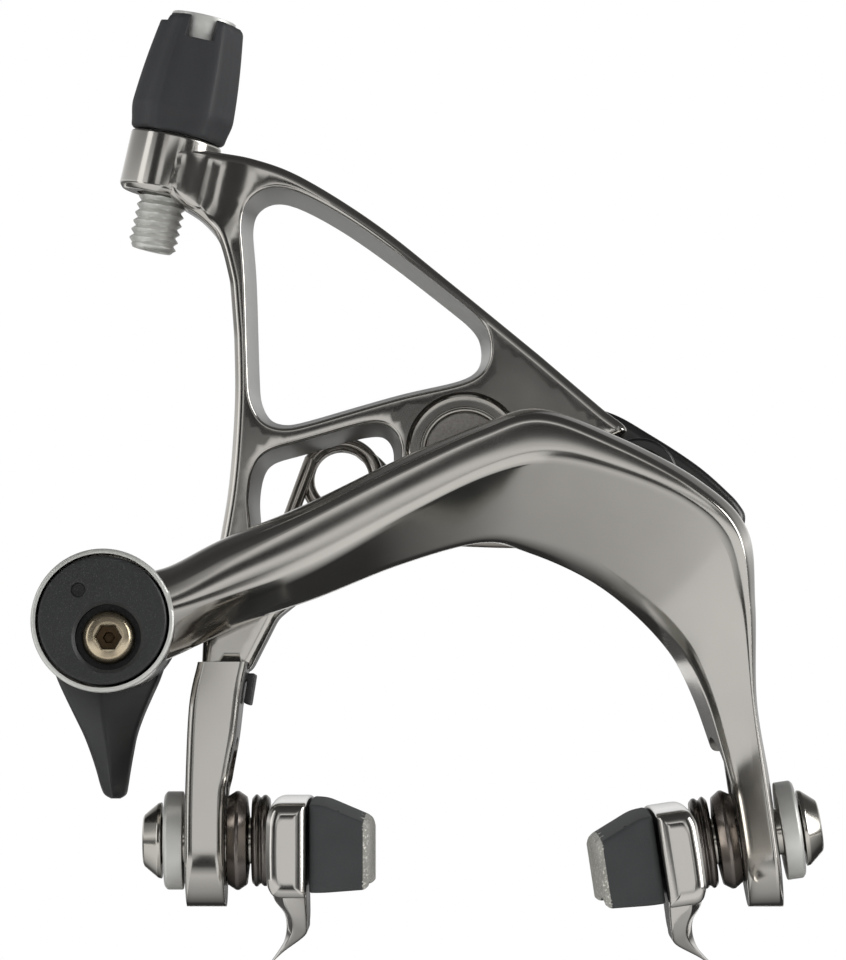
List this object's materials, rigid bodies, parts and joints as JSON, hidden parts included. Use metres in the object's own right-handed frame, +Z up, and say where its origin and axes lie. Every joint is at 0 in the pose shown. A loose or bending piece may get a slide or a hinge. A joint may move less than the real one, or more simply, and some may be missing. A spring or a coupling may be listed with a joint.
{
  "type": "rim brake caliper",
  "caption": "Dual-pivot side-pull rim brake caliper with skeleton arms, barrel adjuster, quick-release cam, return spring and adjustable pads on leg slots.",
  "frame": {"origin": "on the centre bolt's axis, in the plane of the washer face that sits on the fork crown", "axes": "+Z up, -Y the caliper's front, +Y along the centre bolt towards the fork crown; the rim runs along Y between the pads, +X is the viewer's right seen from the front"},
  "size_m": [0.0909, 0.066, 0.1117],
  "materials": {
    "anodised_arm": "polished grey anodised forging",
    "hidden_forging": "dark anodised forging",
    "satin_aluminium": "satin machined",
    "pad_holder": "polished anodised",
    "black_nylon": "fine moulded",
    "grip_rubber": "matte moulded",
    "pad_rubber": "matte with ground face",
    "bolt_steel": "satin",
    "champagne_screw": "satin champagne plate",
    "dark_nickel": "dark nickel plate",
    "bronze_bush": "sintered",
    "spring_wire": "polished stainless"
  },
  "bodies": {
    "bridge": {"centre_bolt": "bolt_steel", "crown_washer": "satin_aluminium", "rear_bridge": "hidden_forging", "centre_thrust_washer": "bolt_steel", "side_pivot_bush": "bronze_bush", "return_spring": "spring_wire"},
    "rear_arm": {"rear_arm": "anodised_arm", "centre_bush": "bronze_bush", "spring_shoe": "black_nylon", "detent_ring": "grip_rubber"},
    "adjuster_thread": {"housing_ferrule": "satin_aluminium"},
    "adjuster": {"adjuster_barrel": "satin_aluminium", "adjuster_grip": "grip_rubber"},
    "front_arm": {"front_arm": "anodised_arm", "side_pivot_bolt": "bolt_steel", "equaliser_roller": "bolt_steel", "release_washer": "bolt_steel"},
    "release": {"release_cam": "black_nylon", "release_lever": "black_nylon"},
    "anchor": {"anchor_screw": "champagne_screw", "cable_clamp_plate": "bolt_steel", "anchor_nut": "bolt_steel"},
    "carrier_left": {"pad_bolt_left": "bolt_steel", "outer_washer_left": "satin_aluminium"},
    "seat_left": {"concave_washer_left": "dark_nickel"},
    "pad_left": {"convex_washer_left": "dark_nickel", "pad_holder_left": "pad_holder", "brake_pad_left": "pad_rubber", "pad_retainer_left": "bolt_steel"},
    "carrier_right": {"pad_bolt_right": "bolt_steel", "outer_washer_right": "satin_aluminium"},
    "seat_right": {"concave_washer_right": "dark_nickel"},
    "pad_right": {"convex_washer_right": "dark_nickel", "pad_holder_right": "pad_holder", "brake_pad_right": "pad_rubber", "pad_retainer_right": "bolt_steel"}
  },
  "joints": [
    {"name": "front_arm_pivot", "type": "hinge", "parent": "bridge", "child": "front_arm", "pos_m": [0.0202, 0, -0.003], "axis": [0, 1, 0], "range_deg": [0, 14], "stiffness_Nm_per_rad": 1.5, "deforming": ["return_spring"]},
    {"name": "rear_arm_pivot", "type": "hinge", "parent": "bridge", "child": "rear_arm", "pos_m": [0, 0, 0], "axis": [0, 1, 0], "range_deg": [-13, 0], "deforming": ["return_spring"]},
    {"name": "adjuster_travel", "type": "slide", "parent": "rear_arm", "child": "adjuster_thread", "axis": [0.2199, 0, 0.9755], "range_m": [0, 0.006]},
    {"name": "adjuster_turn", "type": "hinge", "parent": "adjuster_thread", "child": "adjuster", "pos_m": [-0.0368, -0.013, 0.0239], "axis": [0.2199, 0, 0.9755], "range_deg": [0, 2160]},
    {"name": "release_turn", "type": "hinge", "parent": "front_arm", "child": "release", "pos_m": [-0.04125, 0, -0.0201], "axis": [0, 1, 0], "range_deg": [0, 110]},
    {"name": "anchor_swivel", "type": "hinge", "parent": "release", "child": "anchor", "pos_m": [-0.0406, 0, -0.022], "axis": [0, 1, 0], "range_deg": [-110, 0]},
    {"name": "pad_height_left", "type": "slide", "parent": "rear_arm", "child": "carrier_left", "axis": [0, 0, 1], "range_m": [-0.002, 0.006]},
    {"name": "pad_pitch_left", "type": "hinge", "parent": "carrier_left", "child": "seat_left", "pos_m": [-0.03, -0.016, -0.04515], "axis": [1, 0, 0], "range_deg": [-10, 10]},
    {"name": "pad_toe_left", "type": "hinge", "parent": "seat_left", "child": "pad_left", "pos_m": [-0.02505, -0.016, -0.04515], "axis": [0, 0, 1], "range_deg": [-2, 2]},
    {"name": "pad_height_right", "type": "slide", "parent": "front_arm", "child": "carrier_right", "axis": [-0.1495, 0, 0.9888], "range_m": [-0.002, 0.006]},
    {"name": "pad_pitch_right", "type": "hinge", "parent": "carrier_right", "child": "seat_right", "pos_m": [0.0339, -0.016, -0.0445], "axis": [0.9888, 0, 0.1495], "range_deg": [-10, 10]},
    {"name": "pad_toe_right", "type": "hinge", "parent": "seat_right", "child": "pad_right", "pos_m": [0.02901, -0.016, -0.04524], "axis": [-0.1495, 0, 0.9888], "range_deg": [-2, 2]}
  ],
  "couplings": [
    {"joint": "rear_arm_pivot", "follows": "front_arm_pivot", "ratio": -0.92},
    {"joint": "adjuster_turn", "follows": "adjuster_travel", "rad_per_m": 6283.2},
    {"joint": "anchor_swivel", "follows": "release_turn", "ratio": -1}
  ]
}
